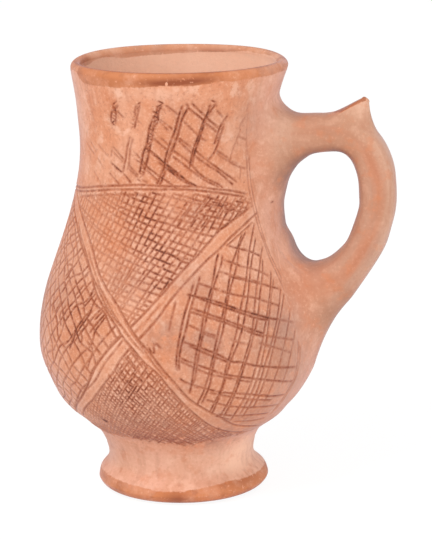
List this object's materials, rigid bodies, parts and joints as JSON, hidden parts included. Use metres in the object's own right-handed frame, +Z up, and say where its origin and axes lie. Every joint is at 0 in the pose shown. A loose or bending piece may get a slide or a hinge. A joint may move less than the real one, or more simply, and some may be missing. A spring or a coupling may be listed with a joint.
{
  "type": "ceramic jug",
  "caption": "Waisted terracotta jug with a flared neck, a loop handle with a thumb spur, incised crossed bands and a slipped rim.",
  "frame": {"origin": "centre of the flat resting face under the foot, on the jug's axis", "axes": "+Z up along the jug's axis, +X towards the handle, +Y across the handle"},
  "size_m": [0.1802, 0.1408, 0.22],
  "materials": {
    "incised_clay": "matte, burnished with incised lines",
    "plain_clay": "matte, wiped smooth",
    "handle_clay": "matte, wiped along its length",
    "slipped_clay": "thin iron-red slip"
  },
  "bodies": {
    "root": {"foot_slab": "slipped_clay", "foot_collar": "plain_clay", "belly_bowl": "incised_clay", "belly_shoulder": "incised_clay", "neck_collar": "incised_clay", "rim_coil": "slipped_clay", "handle_arm_root": "handle_clay", "handle_strap": "handle_clay", "handle_heel_root": "handle_clay", "thumb_spur": "handle_clay"}
  },
  "joints": []
}
